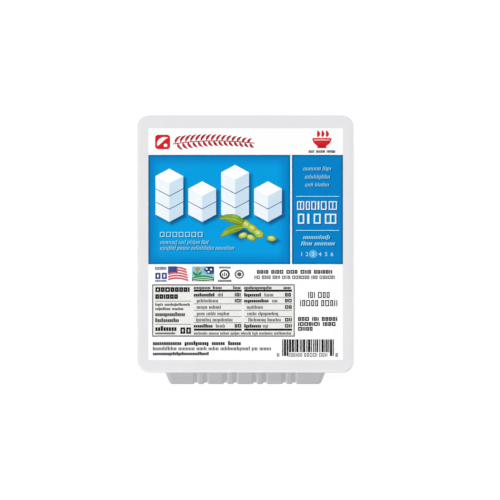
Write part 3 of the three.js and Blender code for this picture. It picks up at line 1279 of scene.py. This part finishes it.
# Its other columns: top, foot and widths of the headings, middles of the bars and the rules
COLUMNS = ((22.7, 46.6), (47.8, 71.7))
COLUMN_HEADING = (84.8, 86.5)
LEFT_HEADING, RIGHT_HEADING = 14.4, 4.3
BARS = (87.3, 108.2)
RULES = (90.8, 94.35, 97.8, 101.15, 104.4)
ROW_TOPS = (88.5, 91.7, 95.1, 98.6, 101.9, 105.2)
ROW_HEIGHT = 1.9
VALUE_WIDTH = 3.5
# Each row's bold part and light part, from the column's left edge, and whether it has a value
ROWS = (
    (((0, 11.0), (12.0, 14.5), True), (None, (1.5, 12.5), True), (None, (1.5, 14.0), False),
     (None, (1.5, 17.9), False), (None, (1.2, 19.4), False), ((0, 9.5), (11.0, 15.5), True)),
    (((0, 9.1), (10.1, 15.1), True), ((0, 12.6), (14.1, 16.6), True), (None, (1.4, 9.6), True),
     (None, (1.6, 17.1), False), (None, (2.1, 18.6), True), ((0, 8.6), (9.4, 12.1), True)),
)
LAST_LINE = (22.8, 71.6, 109.3, 110.9, FINE)

# The barcode: its ends, the width of its unit, the reach of its longer bars in from each end,
# its top and the feet of its bars, and the lines of boxes under it
BARCODE = (66.8, 92.5)
BAR_UNIT = 0.28
LONG_BARS = 2.6
BARS_TOP, BARS_FOOT, LONG_FOOT = 113.4, 120.3, 122.3
BARCODE_LINES = ((69.6, 89.6, THIN), (64.2, 65.6, MEDIUM), (93.4, 94.8, MEDIUM))
BARCODE_LINE = (120.8, 122.7)


def print_first_column(ink):
    """Two headings, lines of strokes, two open boxes and two rules."""
    left, right = FIRST_COLUMN
    for end, top, bottom in HEADINGS:
        box_line(ink, left, end, top, bottom, HEADING, ONE_WORD)
    for end, top, bottom, weight, letters in NOTES:
        type_line(ink, left, end, top, bottom, weight, letters)
    width, top, bottom, stroke = NOTE_BOX
    for place in NOTE_BOXES:
        open_box(ink, place, top, place + width, bottom, stroke)
    for level in NOTE_RULES:
        block(ink, left, level - TABLE_RULE, right, level + TABLE_RULE)


def print_table(ink):
    """A bordered table: a column of headings and notes, then two columns of ruled rows."""
    left, top, right, bottom = TABLE
    width, height = TABLE_FRAME
    block(ink, left, top, right, top + height)
    block(ink, left, bottom - height, right, bottom)
    block(ink, left, top + height, left + width, bottom - height)
    block(ink, right - width, top + height, right, bottom - height)
    print_first_column(ink)
    for (start, end), rows in zip(COLUMNS, ROWS):
        type_line(ink, start, start + LEFT_HEADING, *COLUMN_HEADING, DARK)
        type_line(ink, end - RIGHT_HEADING, end, *COLUMN_HEADING, DARK)
        for levels, half in ((BARS, TABLE_BAR), (RULES, TABLE_RULE)):
            for level in levels:
                block(ink, start, level - half, end, level + half)
        for top, (bold, light, value) in zip(ROW_TOPS, rows):
            if bold:
                type_line(ink, start + bold[0], start + bold[1], top, top + ROW_HEIGHT, HEAVY)
            type_line(ink, start + light[0], start + light[1], top, top + ROW_HEIGHT, FINE)
            if value:
                box_line(ink, end - VALUE_WIDTH, end, top, top + ROW_HEIGHT, BOLD)
    type_line(ink, *LAST_LINE)


def print_barcode(ink):
    """Bars and narrower spaces at random, whole units wide, with longer bars at both ends."""
    left, right = BARCODE
    place = left
    while place < right - BAR_UNIT:
        width = BAR_UNIT * draw.choice((2, 2, 3, 4))
        long = place - left < LONG_BARS or right - place < LONG_BARS
        block(ink, place, BARS_TOP, min(place + width, right), LONG_FOOT if long else BARS_FOOT)
        place += width + BAR_UNIT * draw.choice((1, 1, 1, 2))
    for start, end, weight in BARCODE_LINES:
        box_line(ink, start, end, *BARCODE_LINE, weight)


def print_black():
    """Lines of boxes and strokes, the dark ring, the table and the barcode."""
    ink = bmesh.new()
    ring(ink, *DARK_RING)
    for left, top in RING_BARS:
        block(ink, left, top, left + RING_BAR_WIDTH, RING_BAR_FOOT)
    for line in BOX_LINES:
        box_line(ink, *line)
    for line in STROKE_LINES:
        type_line(ink, *line)
    print_table(ink)
    print_barcode(ink)
    lay(ink, "black_print", BLACK_INK, 3)


print_black()

# ---------------------------------------------------------------------------------------------
# Stage
# ---------------------------------------------------------------------------------------------

FRAME_PIXELS = 500
PIXELS_PER_METRE = 2003.5
LID_MIDDLE_PIXEL = (245.3, 243.3)
VIEW_ELEVATION = math.radians(69.2)
CAMERA_DISTANCE = 1.0

FLOOR_SIZE = 10
FLOOR_DROP = 0.02 * MM                  # keeps the floor out of the foot's own plane
FLOOR_SHADE = (0.1, 0.1, 0.1, 1)        # takes only a faint shadow
FLOOR_GLOW = 0.95
SKY_LIGHT = 0.25                        # strength that lights the pack
SKY_SEEN = 1.0                          # strength where the sky itself is seen
WHITE = (1, 1, 1, 1)

# Soft lights: place and size in metres, power in watts
LIGHTS = (
    ("key_light", (-0.8, -1.0, 6.4), 2.4, 316),
    ("side_light", (-5.384, -2.51, 0.836), 1.2, 150),
    ("fill_light", (5.384, -2.51, 0.836), 1.2, 25),
)


def make_camera():
    """Parallel view from above the front edge, with the lid left of and above the middle."""
    data = bpy.data.cameras.new("camera")
    data.type = "ORTHO"
    data.ortho_scale = FRAME_PIXELS / PIXELS_PER_METRE
    camera = bpy.data.objects.new("camera", data)
    bpy.context.scene.collection.objects.link(camera)
    turn = Matrix.Rotation(math.pi / 2 - VIEW_ELEVATION, 3, "X")
    right, up, back = turn.col
    aside = (FRAME_PIXELS / 2 - LID_MIDDLE_PIXEL[0]) / PIXELS_PER_METRE
    below = (FRAME_PIXELS / 2 - LID_MIDDLE_PIXEL[1]) / PIXELS_PER_METRE
    middle = Vector((0, 0, PACK_HEIGHT)) + right * aside - up * below
    camera.matrix_world = Matrix.Translation(middle + back * CAMERA_DISTANCE) @ turn.to_4x4()
    bpy.context.scene.camera = camera


def make_light(name, place, size, power):
    """A square soft light that faces the pack."""
    data = bpy.data.lights.new(name, "AREA")
    data.size = size
    data.energy = power
    light = bpy.data.objects.new(name, data)
    light.location = place
    light.rotation_euler = Vector(place).to_track_quat("Z", "Y").to_euler()
    bpy.context.scene.collection.objects.link(light)


def make_floor():
    """A plain pale floor that glows, so that it looks white all over."""
    bm = bmesh.new()
    lowered = Matrix.Translation((0, 0, -FLOOR_DROP))
    bmesh.ops.create_grid(bm, x_segments=1, y_segments=1, size=FLOOR_SIZE, matrix=lowered)
    mesh = bpy.data.meshes.new("floor")
    bm.to_mesh(mesh)
    bm.free()
    floor = bpy.data.objects.new("floor", mesh)
    bpy.context.scene.collection.objects.link(floor)
    paper = bpy.data.materials.new("floor_paper")
    paper.use_nodes = True
    finish = paper.node_tree.nodes["Principled BSDF"].inputs
    finish["Base Color"].default_value = FLOOR_SHADE
    finish["Roughness"].default_value = 0.9
    finish["Specular IOR Level"].default_value = 0.0
    finish["Emission Color"].default_value = WHITE
    finish["Emission Strength"].default_value = FLOOR_GLOW
    mesh.materials.append(paper)


def make_sky():
    """A dim white sky that looks as bright as the floor, so that no edge shows between them."""
    world = bpy.data.worlds.new("studio")
    world.use_nodes = True
    tree = world.node_tree
    background = tree.nodes["Background"].inputs
    rays = tree.nodes.new("ShaderNodeLightPath").outputs
    strength = add_node(
        tree, "ShaderNodeMapRange",
        inputs={"Value": rays["Is Camera Ray"], "To Min": SKY_LIGHT, "To Max": SKY_SEEN})
    feed(tree, background["Strength"], strength.outputs["Result"])
    background["Color"].default_value = WHITE
    bpy.context.scene.world = world


make_floor()
make_sky()
for light in LIGHTS:
    make_light(*light)
make_camera()
bpy.context.scene.view_settings.view_transform = "Standard"
